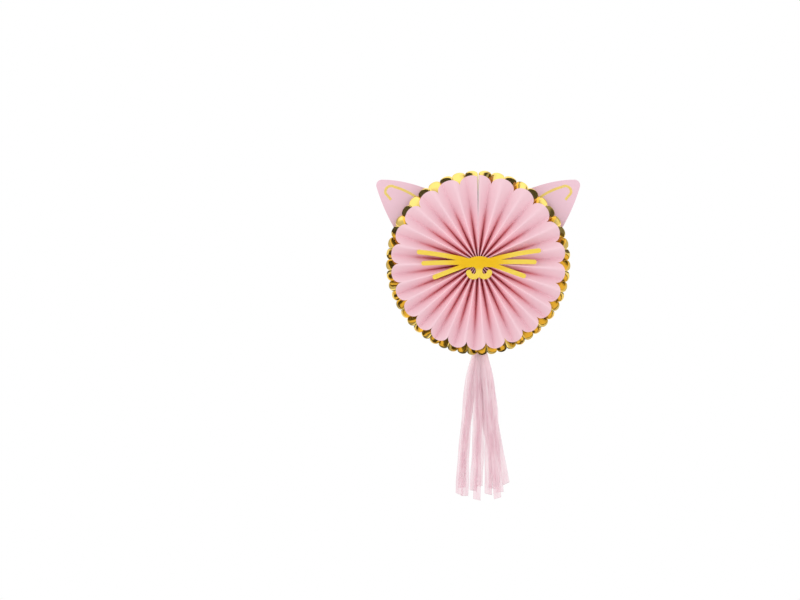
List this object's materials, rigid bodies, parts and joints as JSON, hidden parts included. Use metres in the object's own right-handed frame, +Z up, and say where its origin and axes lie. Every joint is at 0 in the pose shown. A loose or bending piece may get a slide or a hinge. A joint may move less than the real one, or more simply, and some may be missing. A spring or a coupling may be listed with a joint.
{
  "type": "paper fan rosette",
  "caption": "Hanging paper fan rosette with a cat face: pink pleated fan over a gold foil fan, card ears, gold whiskers and a tissue tassel.",
  "frame": {"origin": "centre of the round backing card's rear face, where it lies against a wall", "axes": "+Y out of the back towards the wall, +Z up towards the ears, the face looks towards -Y"},
  "size_m": [0.2768, 0.042, 0.4457],
  "materials": {
    "backing_card": "matte greyboard faced with white paper",
    "gold_foil": "mirror-bright metallised foil card",
    "foam_pad": "white double-sided foam",
    "pink_paper": "matte pink paper",
    "face_gold": "satin gold card",
    "ear_card": "matte mauve pink card",
    "ear_foil": "stamped gold foil line",
    "tape": "double-sided adhesive tape",
    "tissue": "thin pink tissue paper"
  },
  "bodies": {
    "root": {"backing_card": "backing_card", "gold_rosette": "gold_foil", "centre_pad": "foam_pad", "pink_rosette": "pink_paper", "nose_pad": "foam_pad", "face_card": "face_gold", "ear_left": "ear_card", "ear_right": "ear_card", "ear_foil_left": "ear_foil", "ear_foil_right": "ear_foil", "ear_tape_left": "tape", "ear_tape_right": "tape", "tassel": "tissue", "tassel_tape": "tape"}
  },
  "joints": []
}
